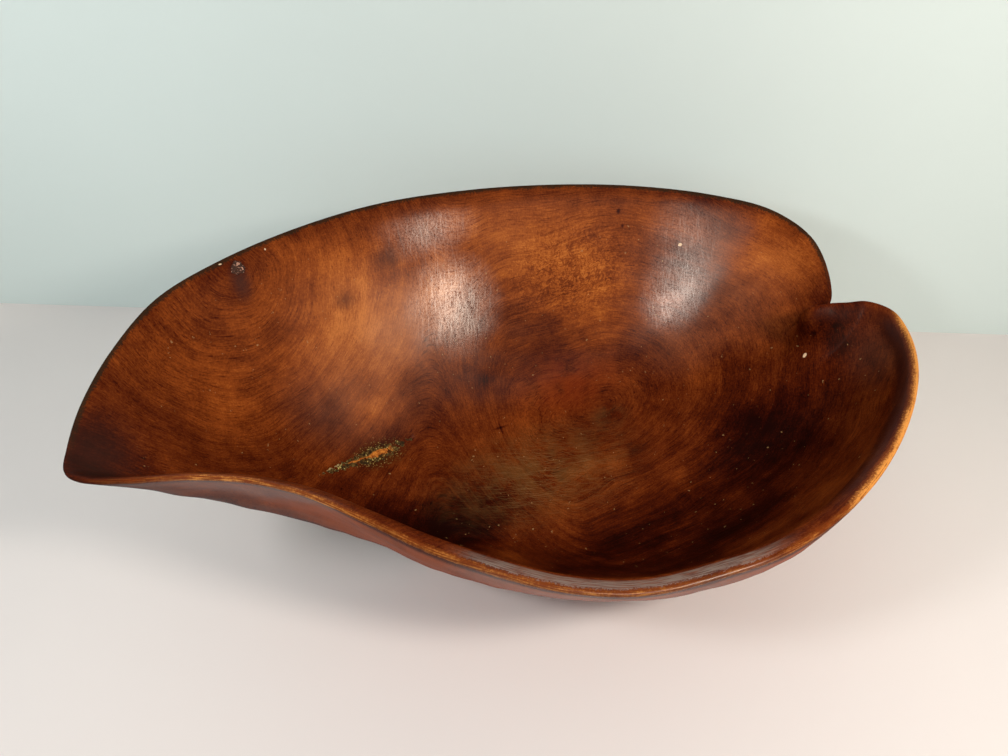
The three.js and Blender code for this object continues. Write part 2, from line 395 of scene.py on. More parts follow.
def new_finish(name):
    """A material with its main shader, and a strand with each point's place on the object."""
    material = bpy.data.materials.new(name)
    material.use_nodes = True
    tree = material.node_tree
    place = Strand(tree.nodes.new("ShaderNodeTexCoord").outputs["Object"])
    return material, tree.nodes["Principled BSDF"], place


def feed(shader, **strands):
    """Links strands to a shader's sockets, where Base_Color stands for Base Color."""
    for name, strand in strands.items():
        strand.socket.id_data.links.new(strand.socket, shader.inputs[name.replace("_", " ")])


print("strands, finishes and feeds are ready")

# %% [markdown]
# ## The table and the wall behind it
# The bowl stands on a pale table close to a pale wall, which throws light back on its far side. The
# wall is a single sheet that is solid from the front and clear from behind, so the bowl can be
# looked at from the back too.

# %% Table and wall
wall_line = np.array([(-327, 412), (477, 35)]) * MM
wall_height, far = 1.6, 3.0


def pale_sheet(name, corners, colour, mottle):
    """A flat sheet in a matt paint with faint large clouds of a second tone."""
    mesh = bpy.data.meshes.new(name)
    mesh.from_pydata([tuple(corner) for corner in corners], [], [(0, 1, 2, 3)])
    sheet = bpy.data.objects.new(name, mesh)
    bpy.context.collection.objects.link(sheet)
    material, shader, place = new_finish(name + "_paint")
    clouds = place.speckle(2.5, 3.0).between(0.35, 0.65)
    feed(shader, Base_Color=clouds.blend(colour, mottle))
    shader.inputs["Roughness"].default_value = 0.8
    mesh.materials.append(material)
    return sheet, material


table_corners = [(-far, -far, 0), (far, -far, 0), (far, far, 0), (-far, far, 0)]
pale_sheet("table", table_corners, (0.76, 0.712, 0.68), (0.745, 0.702, 0.675))

along_wall = unit(wall_line[1] - wall_line[0])
wall_left = wall_line[0] - along_wall * far
wall_right = wall_line[1] + along_wall * far
wall_corners = [
    (*wall_left, 0), (*wall_right, 0), (*wall_right, wall_height), (*wall_left, wall_height),
]
wall, wall_paint = pale_sheet("wall", wall_corners, (0.67, 0.775, 0.745), (0.66, 0.765, 0.735))
wall_nodes = wall_paint.node_tree.nodes
seen_from_behind = Strand(wall_nodes.new("ShaderNodeNewGeometry").outputs["Backfacing"])
clear = seen_from_behind.make("ShaderNodeBsdfTransparent", {}, {})
painted = Strand(wall_nodes["Principled BSDF"].outputs[0])
one_sided = painted.make("ShaderNodeMixShader", {}, {0: seen_from_behind, 1: painted, 2: clear})
wall_paint.node_tree.links.new(one_sided.socket, wall_nodes["Material Output"].inputs["Surface"])
print("wall faces", np.round(wall.data.polygons[0].normal, 2))


# %% [markdown]
# ## Light
# Two soft lamps hang above the table, a warm one to the right and a cooler one to the left, as the
# two shadows in the photograph tell. A faint third one lights the wall on the left, and the room
# adds an even light from everywhere. The long soft gleams on the far side of the bowl come from two
# bright panels low in front. A panel that only shows in gloss places a gleam without washing out
# the colour, as a stylist's white card does.

# %% Lamps and room
def lamp(name, place_mm, aim_mm, watts, size_mm, colour, roll=0.0):
    """A soft rectangle of light that faces a point, seen by neither camera nor gloss."""
    data = bpy.data.lights.new(name, "AREA")
    data.shape = "RECTANGLE"
    data.energy = watts
    data.size, data.size_y = np.array(size_mm) * MM
    data.color = colour
    light = bpy.data.objects.new(name, data)
    bpy.context.collection.objects.link(light)
    light.location = Vector(place_mm) * MM
    aim = Vector(aim_mm) * MM - light.location
    turned = Quaternion((0, 0, 1), np.radians(roll))
    light.rotation_euler = (aim.to_track_quat("-Z", "Y") @ turned).to_euler()
    light.visible_camera = False
    light.visible_glossy = False
    return light


def gleam(name, place_mm, aim_mm, watts, size_mm, colour, roll=0.0):
    """The same rectangle, but one that only gloss can see."""
    light = lamp(name, place_mm, aim_mm, watts, size_mm, colour, roll)
    light.visible_glossy = True
    light.visible_diffuse = False
    return light


warm_white, cool_white = (1.0, 0.9, 0.82), (1.0, 1.0, 1.0)
straw_white, soft_white = (1.0, 0.86, 0.7), (1.0, 0.89, 0.78)
lamp("right_lamp", (302, -469, 565), (0, 0, 60), 3.8, (120, 120), warm_white)
lamp("left_lamp", (-498, -98, 508), (0, 0, 60), 1.9, (120, 120), cool_white)
lamp("side_lamp", (-620, 260, 470), (-560, 560, 330), 0.5, (300, 300), cool_white)
gleam("tall_gleam", (329, -1360, 569), (-16, 135, 130), 24.0, (12, 700), straw_white, 8.5)
gleam("broad_gleam", (-142, -1329, 757), (178, 85, 110), 8.8, (400, 14), soft_white, -10)
world = bpy.data.worlds.new("room")
bpy.context.scene.world = world
world.use_nodes = True
world.node_tree.nodes["Background"].inputs["Color"].default_value = (0.95, 0.97, 1.0, 1)
in_gloss = Strand(world.node_tree.nodes.new("ShaderNodeLightPath").outputs["Is Glossy Ray"])
room_light, less_in_gloss = 0.34, 0.2
strength = room_light - in_gloss * less_in_gloss
background = world.node_tree.nodes["Background"]
world.node_tree.links.new(strength.socket, background.inputs["Strength"])
print("lights", [light.name for light in bpy.data.lights])


# %% [markdown]
# ## How the grain runs
# A bowl cut from a trunk shows its year rings as nested loops wherever the surface runs along them.
# Here the loops close in two places: round the knot on the high rim, and on the floor. So the grain
# follows the distance from two points, blended between them, and bent by slow noise, because no
# tree grows true. On the middle of the far wall the fibres curl, which bends it much more.

# %% Rings of the wood
def push(place, scale, amount_mm):
    """A small shift that wanders with the place: noise about nought, times the amount."""
    feeds = {"Vector": place, "Scale": scale, "Detail": 2.0}
    noise = place.make("ShaderNodeTexNoise", {}, feeds, 1)
    return noise.vector("SUBTRACT", (0.5,) * 3).vector("MULTIPLY", (4 * amount_mm * MM,) * 3)


def streaks(place, ring, across, along, detail=3.0):
    """Noise drawn out along the rings: it changes fast across them and slowly along them."""
    shift = ring.make("ShaderNodeCombineXYZ", {}, {0: ring * across})
    return place.vector("MULTIPLY", (along,) * 3).vector("ADD", shift).speckle(1.0, detail)


oiled_wood, wood_shader, wood_at = new_finish("oiled_wood")
curl = wood_at.patch((85, 118, 120), (85, 60, 65))
curled = push(wood_at, 110.0, 1.6).vector("MULTIPLY", curl)
bent_place = wood_at.vector("ADD", push(wood_at, 7.0, 12.0)).vector("ADD", curled)
knot_rings = bent_place.distance((-165, 131, 175), (1, 1, 1))
floor_rings = bent_place.distance((85, 55, 30), (1.7, 1, 1.1))
along_bowl = wood_at.axis(0)
knot_share = along_bowl.between(0.03, -0.07)
ring = knot_rings * knot_share + floor_rings * (1 - knot_share)
print("nodes for the grain:", len(oiled_wood.node_tree.nodes))

# %% [markdown]
# ## Light and dark in the wood
# The colour of old oiled wood is a scale of tones from bright orange, where the wood is dry and
# clean, to nearly black red, where oil and dust have gathered. So the finish works out one tone for
# each point and reads the colour from a scale. Large soft patches set the tone, and the grain
# runs through them as broad bands, fine lines, fibres and short dark pores. Some dark patches are
# painted shade: on the lower near side of the inside, which the near rim shades, and in the crease
# under the cleft.

# %% The tone of the wood
tone_patches = [
    # centre and half sizes in mm, and how much lighter or darker
    ((-86, 120, 118), (130, 75, 85), 0.56),
    ((-80, 104, 78), (70, 40, 55), 0.12),
    ((-74, 140, 158), (60, 24, 26), 0.16),
    ((55, 132, 135), (125, 60, 75), 0.46),
    ((115, 100, 95), (75, 50, 70), 0.36),
    ((228, 62, 130), (66, 68, 64), 0.48),
    ((-202, 78, 128), (75, 55, 50), 0.26),
    ((-205, 115, 170), (40, 30, 25), 0.1),
    ((-170, 66, 92), (55, 35, 30), 0.06),
    ((-92, 84, 56), (50, 26, 26), 0.26),
    ((140, 122, 158), (60, 26, 26), 0.26),
    ((0, 62, 24), (90, 30, 30), 0.08),
    ((30, 8, 15), (70, 40, 20), 0.1),
    ((-265, 5, 150), (60, 55, 45), -0.4),
    ((262, 5, 142), (46, 40, 26), -0.34),
    ((250, 41, 137), (36, 36, 30), 0.24),
    ((205, -38, 66), (36, 34, 34), -0.2),
    ((201, -35, 60), (20, 20, 20), 0.24),
    ((167, -80, 54), (34, 30, 30), 0.1),
    ((146, 27, 36), (30, 26, 24), -0.1),
    ((177, -9, 46), (22, 20, 20), -0.12),
    ((248, 59, 145), (24, 24, 24), -0.16),
    ((-80, 152, 177), (45, 20, 20), 0.16),
    ((-100, 92, 70), (60, 40, 45), 0.06),
    ((66, -24, 15), (50, 30, 20), -0.12),
    ((60, 82, 36), (85, 30, 30), 0.1),
    ((-22, 152, 170), (60, 30, 22), 0.16),
    ((165, 70, 78), (60, 50, 40), 0.08),
    ((-160, 120, 158), (60, 30, 30), 0.1),
    ((-120, 142, 168), (70, 26, 28), 0.16),
    ((20, 146, 165), (60, 26, 26), 0.18),
    ((183, 104, 150), (50, 30, 30), 0.14),
    # Painted shade: darker patches on the lower near side of the inside and the right end, where
    # the near rim shades the wall.
    ((-80, -6, 32), (105, 62, 50), -0.6),
    ((30, -100, 45), (110, 62, 60), -0.42),
    ((165, -52, 45), (120, 88, 72), -0.44),
    ((55, -62, 20), (100, 42, 25), -0.34),
    ((238, -20, 108), (50, 52, 42), -0.26),
    ((108, -104, 48), (60, 30, 34), -0.3),
    ((96, -30, 18), (48, 30, 25), 0.06),
    ((191, 17, 62), (26, 24, 28), -0.2),
    ((21, 110, 74), (28, 18, 22), 0.12),
    ((110, 63, 40), (28, 26, 18), 0.12),
    ((-82, 126, 124), (44, 26, 34), 0.11),
    ((220, 86, 146), (24, 22, 24), -0.14),
    ((230, -15, 105), (15, 15, 17), 0.12),
    ((121, -18, 20), (26, 20, 14), 0.09),
    ((-24, 104, 62), (18, 15, 16), 0.08),
    ((3, 98, 48), (11, 10, 11), -0.3),
    ((99, 5, 17), (24, 14, 12), -0.2),
    ((90, 44, 21), (26, 18, 12), -0.1),
    ((-94, 128, 134), (10, 10, 9), -0.05),
    ((-57, 143, 152), (14, 10, 12), -0.12),
    ((-137, 115, 133), (40, 24, 12), -0.06),
    ((-162, 128, 168), (10, 14, 22), -0.26),
    ((-160, 134, 176), (9, 9, 8), -0.25),
    ((215, 98, 150), (10, 10, 10), -0.2),
    # Painted shade: two small dark marks in the crease under the cleft.
    ((227, -11, 110), (6, 3, 4), -0.3),
    ((238, -17, 118), (5, 3, 4), -0.3),
    ((129, 126, 161), (2.6, 2.6, 3.4), -0.6),
    ((131, 121, 150), (2.2, 2.2, 2.6), -0.5),
    ((5, 69, 18), (9, 1.3, 9), -0.35),
    ((5, 69, 18), (1.3, 10, 9), -0.35),
]
tone = 0.18 + wood_at.speckle(22.0, 4.0, 0.6) * 0.64
for centre_mm, reach_mm, change in tone_patches:
    tone = tone + wood_at.patch(centre_mm, reach_mm) * change

ring_strength = 1 - wood_at.patch((70, 50, 25), (95, 75, 50)) * 0.7
bands = streaks(bent_place, ring, 130.0, 7.0)
lines = streaks(bent_place, ring, 620.0, 26.0)
pores = streaks(bent_place, ring, 1900.0, 230.0, 1.0).between(0.6, 0.72)
figure = bent_place.speckle(330.0, 2.0, 0.6, 1.6).between(0.4, 0.58) * curl
mottle = wood_at.speckle(60.0, 4.0, 0.6)
fibres = streaks(bent_place, ring, 1500.0, 300.0, 2.0)
grit = bent_place.speckle(800.0, 2.0, 0.7)
tone = tone + ((bands - 0.5) * 0.34 + (lines - 0.5) * 0.32) * ring_strength
tone = tone + (mottle - 0.5) * 0.5 + (grit - 0.5) * 0.5 + (fibres - 0.5) * 0.36
tone = tone - pores * 0.22 + (figure - 0.5 * curl) * 0.34
wood_scale = [
    (0.00, (0.01, 0.0012, 0.0004)),
    (0.16, (0.029, 0.0028, 0.0005)),
    (0.32, (0.072, 0.0095, 0.0014)),
    (0.48, (0.135, 0.0245, 0.0036)),
    (0.64, (0.23, 0.047, 0.0065)),
    (0.8, (0.36, 0.088, 0.012)),
    (1.00, (0.56, 0.17, 0.028)),
]
wood_colour = (tone * 0.8).scale_of(wood_scale)
print("tone patches", len(tone_patches), "tones", len(wood_scale))

# %% [markdown]
# ## Stains, scratches and a painted sheen
# A used bowl bears stains where things lay in it. The floor has gone olive grey and is covered with
# fine pale scratches, and a few places near the tip and on the far wall are a dull purple. A pale
# pinkish sheen is painted on the far wall and in the right lobe: a painted highlight where the
# lamps gleam. These are thin layers of another colour, each with its own soft mask.

# %% Stains, scratches and painted sheen
def overlaid(colour, mask, overlay):
    """The colour with another over it, as strong as the mask: for stains, wear and painted light
    alike.
    """
    return mask.blend(colour, overlay)


def scratched(place, turn, long, fine, low=0.66):
    """Thin straight marks: noise that is stretched many times along one direction."""
    settings = {"vector_type": "TEXTURE"}
    feeds = {"Vector": place, "Rotation": (0, 0, np.radians(turn)), "Scale": (long, fine, 0.02)}
    turned = place.make("ShaderNodeMapping", settings, feeds)
    return turned.speckle(1.0, 1.0).between(low, low + 0.08)


# Painted sheen: pale patches that stand in for the gleam of the lamps on the far wall and in the
# right lobe.
painted_sheen_patches = [
    # centre and half sizes in mm, and how strong
    ((-100, 98, 72), (85, 60, 65), 0.1),
    ((-57, 120, 100), (50, 40, 40), 0.17),
    ((-95, 125, 130), (70, 45, 55), 0.05),
    ((208, 65, 108), (65, 65, 65), 0.08),
    ((162, 62, 70), (50, 42, 42), 0.06),
    ((253, -50, 115), (40, 50, 40), 0.04),
]
for centre_mm, reach_mm, amount in painted_sheen_patches:
    painted_sheen = wood_at.patch(centre_mm, reach_mm) * (mottle + 0.5) * amount
    wood_colour = overlaid(wood_colour, painted_sheen, (0.6, 0.34, 0.22))

olive_floor = wood_at.patch((12, 18, 15), (110, 60, 28))
olive_floor = olive_floor * (mottle * 0.7 + lines * 0.3).between(0.4, 0.6)
olive_spot = wood_at.patch((93, 45, 21), (24, 17, 14)) * mottle.between(0.35, 0.6)
red_floor = wood_at.patch((70, 78, 38), (75, 36, 40)) * mottle.between(0.3, 0.6)
wood_colour = overlaid(wood_colour, red_floor * 0.5, (0.19, 0.021, 0.002))
wood_colour = overlaid(wood_colour, olive_floor * 0.55, (0.085, 0.048, 0.014))
wood_colour = overlaid(wood_colour, olive_spot * 0.5, (0.055, 0.036, 0.012))
purple_patches = [
    # centre and half sizes in mm, and how strong
    ((-255, 12, 155), (50, 45, 30), 0.4),
    ((-94, 128, 134), (12, 12, 11), 0.4),
    ((-57, 143, 152), (20, 12, 14), 0.4),
    ((-161, 128, 168), (10, 16, 20), 0.64),
]
for centre_mm, reach_mm, amount in purple_patches:
    purple = wood_at.patch(centre_mm, reach_mm) * amount
    wood_colour = overlaid(wood_colour, purple, (0.06, 0.022, 0.014))
worn_floor = wood_at.patch((20, 12, 16), (105, 62, 30))
scratches = scratched(wood_at, -18, 0.014, 0.0005, 0.58)
scratches = scratches.at_least(scratched(wood_at, -40, 0.01, 0.0005, 0.6))
wood_colour = overlaid(wood_colour, scratches * worn_floor * 0.3, (0.3, 0.18, 0.06))
print("haze patches", len(painted_sheen_patches), "purple patches", len(purple_patches))

# %% [markdown]
# ## Wear on the rim, with painted reflection, glints and shade
# Hands polish a rim and rub its colour off. The far rim keeps a dark line. The near rim shows worn
# golden wood, with a dark red line outside it and a dull grey band inside it. The grey band is a
# painted reflection of the pale room on the lip's top, the brightest golden dashes are partly
# painted glints, and a dark band just inside the right end's rim is painted shade. Every point of
# the skin will carry how far over the rim it lies, so each of these is a band between two
# distances, made ragged by noise, times soft masks for its stretch of the rim. Drawn out along the
# rim, noise becomes the fibres of the worn wood and the streaks of the painted reflection.

# %% The worn rim, with painted reflection, glints and shade
over_rim = wood_at.carried("over_rim")
ragged_over = over_rim + (mottle - 0.5) * 0.004 + (grit - 0.5) * 0.006
across_bowl = wood_at.axis(1)
cleft_end = wood_at.patch((262, 2, 138), (44, 52, 34)).between(0.0, 0.3)
near_side = across_bowl.between(-0.008, -0.03) * (1 - cleft_end)
far_side = across_bowl.between(0.0, 0.04)
near_middle = wood_at.patch((-25, -150, 105), (140, 80, 45)).between(0.0, 0.3)
right_end = wood_at.patch((208, -98, 126), (130, 115, 60)).between(0.0, 0.3)
left_end = wood_at.patch((-180, -40, 150), (110, 45, 45)).between(0.0, 0.5)
clouds = wood_at.speckle(34.0, 2.0).between(0.35, 0.55)
along_rim = wood_at.make("ShaderNodeCombineXYZ", {}, {0: over_rim * 1300, 1: along_bowl * 90})
rim_fibres = along_rim.speckle(1.0, 2.0)

far_line = far_side * ragged_over.between(0.006, 0.004) * ragged_over.between(-0.006, -0.003)
# Painted reflection: the grey band on the near lip's top stands in for the pale room mirrored
# there, streaked along the rim.
painted_reflection_band = near_middle * ragged_over.between(0.004, 0.0052) * over_rim.between(0.0125, 0.0112)
reflection_streaks = rim_fibres.between(0.36, 0.6) * 0.65 + 0.25
red_line = near_side * ragged_over.between(-0.005, -0.003) * ragged_over.between(0.0, -0.0015)
worn_over = ragged_over - right_end * 0.0018
worn_edge = near_side * (0.35 + clouds.at_least(right_end) * 0.65)
worn_edge = worn_edge * ragged_over.between(-0.002, -0.0008) * worn_over.between(0.0048, 0.0026)
# Worn golden wood on the rim, whose brightest dashes are partly painted glints.
gold_places = wood_at.speckle(520.0, 3.0, 0.8) * 0.35 + rim_fibres * 0.65
gold_and_glints = (gold_places + right_end * 0.12).between(0.44, 0.62)
gold_and_glints = gold_and_glints * (0.55 + right_end * 0.45 + left_end * 0.3)
gold_and_glints = gold_and_glints * (0.35 + worn_over.between(0.0034, 0.0014) * 0.65)
# Painted shade: a dark band just inside the rim at the right end, where the inner wall lies in
# shade.
painted_shade_inside = right_end * worn_over.between(0.005, 0.007) * ragged_over.between(0.022, 0.014)
outside_red = near_side * (1 - left_end * 0.5) * over_rim.between(-0.004, -0.009)
outside_red = outside_red * (0.45 + mottle * 0.4 + clouds * 0.25)
rim_layers = [
    (far_line * 0.85, (0.02, 0.013, 0.006)),
    (painted_reflection_band * reflection_streaks, (0.19, 0.135, 0.11)),
    (outside_red * 0.6, (0.4, 0.085, 0.022)),
    (painted_shade_inside * 0.8, (0.026, 0.004, 0.002)),
    (red_line * 0.8, (0.05, 0.006, 0.002)),
    (worn_edge * 0.8, (0.17, 0.036, 0.006)),
    (worn_edge * gold_and_glints, (0.62, 0.25, 0.05)),
]
for mask, overlay in rim_layers:
    wood_colour = overlaid(wood_colour, mask, overlay)
print("layers on the rim", len(rim_layers))

# %% [markdown]
# ## Dust and specks
# Dark dust and grains of resin have gathered round the bark pocket, and small pale specks are
# scattered over the inside. A few of the specks are listed one by one, and the finest come from
# noise.

# %% Dust and specks
bark_dust = wood_at.patch((-98, 62, 36), (50, 17, 15))
dust = bark_dust * (mottle + grit - 1.0 + bark_dust * 0.5).between(0.05, 0.3)
dust_grains = wood_at.speckle(900.0, 1.0, 0.5).between(0.63, 0.69) * bark_dust.between(0.1, 0.5)
wood_colour = overlaid(wood_colour, dust * 0.75, (0.026, 0.014, 0.003))
wood_colour = overlaid(wood_colour, dust_grains * 0.7, (0.42, 0.29, 0.08))

pale_specks = [
    # centre and half sizes in mm
    ((174, 99.5, 135), (2.4, 1.6, 1.8)),
    ((222, -13, 91), (1.8, 1.4, 3.2)),
    ((-140, 143, 181), (0.8, 0.8, 2.2)),
    ((-139, 143, 176), (0.7, 0.7, 1.6)),
    ((-170.5, 134, 181.0), (2.2, 1.2, 0.8)),
    ((-252, 30, 148), (0.9, 0.9, 0.9)),
    ((-196, 100, 150), (0.9, 0.9, 0.9)),
]
for centre_mm, reach_mm in pale_specks:
    speck = wood_at.patch(centre_mm, reach_mm).between(0.0, 0.3)
    wood_colour = overlaid(wood_colour, speck, (0.72, 0.5, 0.3))
well_inside = over_rim.between(0.02, 0.03)
flecks = wood_at.speckle(300.0).between(0.72, 0.77) * well_inside
wood_colour = overlaid(wood_colour, flecks * 0.45, (0.5, 0.3, 0.12))
print("specks placed by hand", len(pale_specks))

# %% [markdown]
# ## What is left of the polish
# Oil and wax lie on the wood as a thin clear coat. It is strong on two parts of the far wall, thin
# on the outside and the near rim, and nearly gone from the floor and the dark end. A coat whose
# weight varies does this, and fine rubbed marks and pores break it up.

# %% Polish
outside_coat = over_rim.between(0.0, -0.004)
left_shine = wood_at.patch((-12, 124, 108), (46, 44, 50))
left_shine = left_shine + wood_at.patch((-24, 151, 166), (50, 36, 26)) * 0.42
right_shine = wood_at.patch((166, 82, 98), (36, 46, 44))
right_shine = right_shine + wood_at.patch((180, 98, 130), (40, 46, 60)) * 0.3
high_lobe = wood_at.patch((250, 41, 137), (50, 50, 50))
haze = wood_at.patch((-75, 112, 90), (110, 70, 90))
haze = haze + wood_at.patch((190, 88, 102), (85, 75, 90))
near_rim = near_side * ragged_over.between(0.016, 0.012)
near_coat = near_rim * (near_middle + left_end + right_end * 0.4) * 0.35
rubbed = scratched(wood_at, 62, 0.02, 0.0009, 0.57)
rubbed = rubbed + scratched(wood_at, 97, 0.016, 0.0007, 0.57)
shine = left_shine * 0.88 + right_shine * 0.86
shine = shine * (0.3 + mottle * 0.6 + (grit - 0.5) * 2.4 + rubbed * 0.5 - pores * 0.3)
polish = (0.012 + outside_coat * 0.14 + near_coat) * (0.75 + mottle * 0.5)
polish = polish + high_lobe * 0.2 + haze * 0.18 + shine
polish = polish.at_least(0.0).at_most(1.0)
roughness = 0.5 + mottle * 0.1 - painted_reflection_band * 0.15
height = lines * 0.5 - pores * 0.6 - scratches * 0.5 + mottle * 0.6
dents = height.relief(0.25, 0.4 * MM)
feed(wood_shader, Base_Color=wood_colour, Roughness=roughness, Normal=dents, Coat_Weight=polish)
wood_shader.inputs["Specular IOR Level"].default_value = 0.03
wood_shader.inputs["Coat Roughness"].default_value = 0.27
print("oiled wood:", len(oiled_wood.node_tree.nodes), "nodes")

# %% [markdown]
# ## One closed skin
# The bowl's surface is a stack of rings: up the outside, over the rim, down the inside. Rows and
# columns are closer together round the bark pocket, where the detail is.

# %% The skin of the bowl
def closed_skin(name, rings, first_middle, last_middle):
    """Joins rings of equal length by squares and draws each end in to a middle point."""
    count, length = rings.shape[:2]
    points = np.vstack([rings.reshape(-1, 3), first_middle, last_middle])
    column = np.arange(length)
    next_column = (column + 1) % length
    ring = np.arange(count - 1)[:, None] * length
    squares = np.stack(
        [ring + column, ring + next_column, ring + length + next_column, ring + length + column],
        axis=-1,
    ).reshape(-1, 4)
    first, last = count * length, count * length + 1
    top = (count - 1) * length
    first_fan = np.stack([np.full(length, first), next_column, column], axis=1)
    last_fan = np.stack([top + column, top + next_column, np.full(length, last)], axis=1)
    mesh = bpy.data.meshes.new(name)
    faces = squares.tolist() + first_fan.tolist() + last_fan.tolist()
    mesh.from_pydata(points.tolist(), [], faces)
    mesh.shade_smooth()
    piece = bpy.data.objects.new(name, mesh)
    bpy.context.collection.objects.link(piece)
    print(name, len(points), "points")
    return piece


def carry(piece, name, values):
    """Gives each point of a piece a number, under a name that its finish can read."""
    piece.data.attributes.new(name, "FLOAT", "POINT").data.foreach_set("value", values)


def bunched(start, end, dense_start, dense_end, wide, fine):
    """Steps from start to end, fine ones between the dense limits and wide ones elsewhere."""
    return np.concatenate([
        np.arange(start, dense_start, wide),
        np.arange(dense_start, dense_end, fine),
        np.arange(dense_end, end - wide / 2, wide),
    ])


columns = bunched(0, stations, 10.8, 14.6, 1 / 9, 1 / 30)
inner_rows = np.append(bunched(0, 1, 0.5, 0.78, 1 / 60, 1 / 230), 1.0)
outer_rows = np.linspace(1, 0, 90)
print("columns", len(columns), "rows outside", len(outer_rows), "rows inside", len(inner_rows))

# %% [markdown]
# ## Marks of the hand
# A surface cut with an adze and scraped by hand is never quite even. The outside keeps shallow
# facets, the inside a faint swell. A few slow waves in fixed random directions, added up, give an
# unevenness that is the same each time.

# %% Unevenness and the way inwards
wave_count = 8
place_nudge, depth_nudge = 0.05, 0.01


def swell(points, wave_mm, seed):
    """Sine waves along random directions, added up and halved twice: mostly between -1 and 1."""
    draw = np.random.default_rng(seed)
    directions = unit(draw.normal(size=(wave_count, 3))) * 2 * np.pi / (wave_mm * MM)
    starts = draw.uniform(0, 2 * np.pi, wave_count)
    return np.sin(points @ directions.T + starts).sum(axis=-1) / 4


def off_the_wall(place, depth):
    """Unit vectors square to the inside, into the hollow: the cross product of its directions."""
    around = inside(place + place_nudge, depth) - inside(place - place_nudge, depth)
    down = inside(place, np.minimum(depth + depth_nudge, 1)) - inside(place, depth - depth_nudge)
    return unit(np.cross(around, down))


def line_on_wall(points_mm, count):
    """Even steps along a line through points on the inside, as places and depths.

    Each point is matched with the nearest of a fine grid of the inside, and the places and depths
    between the points are taken in proportion."""
    fine_places, fine_depths = np.arange(0, stations, 0.02), np.linspace(0.05, 1, 400)
    place, depth = np.meshgrid(fine_places, fine_depths)
    grid = inside(place, depth).reshape(-1, 3)
    nearest = [np.argmin(np.linalg.norm(grid - np.array(p) * MM, axis=1)) for p in points_mm]
    knots = np.linspace(0, 1, len(points_mm))
    steps = np.linspace(0, 1, count)
    return (
        np.interp(steps, knots, place.ravel()[nearest]),
        np.interp(steps, knots, depth.ravel()[nearest]),
    )


bark_points = [
    (-143.5, 43.5, 52), (-132, 50.5, 45.5), (-113, 59.5, 37.7), (-93, 65.5, 33.3), (-67, 72.5, 31),
]
bark_reach, bark_dent = 11 * MM, 1.3 * MM
bark_steps = 90
bark_place, bark_depth = line_on_wall(bark_points, bark_steps)
bark_middle = inside(bark_place, bark_depth)
bark_along = np.linspace(0, 1, bark_steps)
# Half widths, as shares of the reach: thin ends and a belly near the far end. The borders of the
# strip stay under the skin, so less than its whole width shows.
widest_along = 0.74
bark_half = 0.2 + 0.3 * np.sin(np.pi * bark_along) + 0.45 * bell(bark_along - widest_along, 0.22)
bark_half = bark_half * bark_reach
knot_middle_mm = (-160.8, 133.6, 175.8)
knot_middle = np.array(knot_middle_mm) * MM
knot_radius = 4.5 * MM
bark_length = np.linalg.norm(np.diff(bark_middle, axis=0), axis=1).sum()
print("bark streak", np.round(bark_length / MM), "mm long")

# %% [markdown]
# ## The bowl's skin
# The rings run up the outside, over the lip, down the inside and across a slightly dished floor.
# Every point also carries how far over the rim it lies, from the outer edge inwards, and the
# finish uses that to wear the rim.

# %% The carved bowl
outer_facets, inner_swell = 0.45 * MM, 0.3 * MM
floor_dish = 1.9 * MM
calm_rim, calm_foot, calm_inside = 0.12, 0.15, 0.1

lip_shares = np.linspace(0, 1, 16)[1:-1]
floor_shares = np.linspace(1, 0, 14)[1:-1]

place, depth = np.meshgrid(columns, outer_rows)
outer_grid = outside(place, depth)
facets = swell(outer_grid, wave_mm=38, seed=1) + 0.6 * swell(outer_grid, wave_mm=17, seed=2)
still = ease(depth / calm_rim) * ease((1 - depth) / calm_foot)
outer_grid = outer_grid - through_wall(place, depth) * (facets * still * outer_facets)[..., None]
outer_grid[0, :, 2] = 0

inner_place, row = np.meshgrid(columns, inner_rows)
first_depth = at_place(roll_depth, inner_place)
inner_depth = first_depth + (1 - first_depth) * row
inner_grid = inside(inner_place, inner_depth)
still = ease(row / calm_inside) * ease((1 - row) / calm_inside)
waves = swell(inner_grid, wave_mm=70, seed=3) + 0.35 * swell(inner_grid, wave_mm=22, seed=4)
waves = waves * still * inner_swell
to_bark = np.full(inner_grid.shape[:2], np.inf)
for middle, half in zip(bark_middle[::3], bark_half[::3]):
    to_bark = np.minimum(to_bark, np.linalg.norm(inner_grid - middle, axis=-1) / half)
dent = bark_dent * bell(to_bark, 0.8)
inner_grid = inner_grid + off_the_wall(inner_place, inner_depth) * (waves - dent)[..., None]

nose_end = inner_grid[0]
up_the_wall = unit(nose_end - inner_grid[1]) * (outer_grid[-1] - nose_end)[..., 2:] * nose_fall
u = lip_shares[:, None, None]
lip_grid = (
    (1 - u) ** 3 * outer_grid[-1]
    + 3 * (1 - u) ** 2 * u * (outer_grid[-1] + (0, 0, nose_rise))
    + 3 * (1 - u) * u**2 * (nose_end + up_the_wall)
    + u**3 * nose_end
)

floor_middle = np.array([*foot_centre, floor_thickness - floor_dish])
share = floor_shares[:, None, None]
floor_grid = floor_middle + (inner_grid[-1] - floor_middle) * share
floor_grid[..., 2] = floor_thickness - floor_dish * (1 - floor_shares[:, None] ** 2)

rings = np.concatenate([outer_grid, lip_grid, inner_grid, floor_grid])
bowl = closed_skin("carved_bowl", rings, (*foot_centre, 0), floor_middle)
steps = np.linalg.norm(np.diff(rings, axis=0), axis=-1)
distance = np.vstack([np.zeros(len(columns)), np.cumsum(steps, axis=0)])
distance = distance - distance[len(outer_rows) - 1]
carry(bowl, "over_rim", np.append(distance.ravel(), [-1.0, 1.0]))
bowl.data.materials.append(oiled_wood)
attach(bowl, "root")
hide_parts("leaf_bowl")

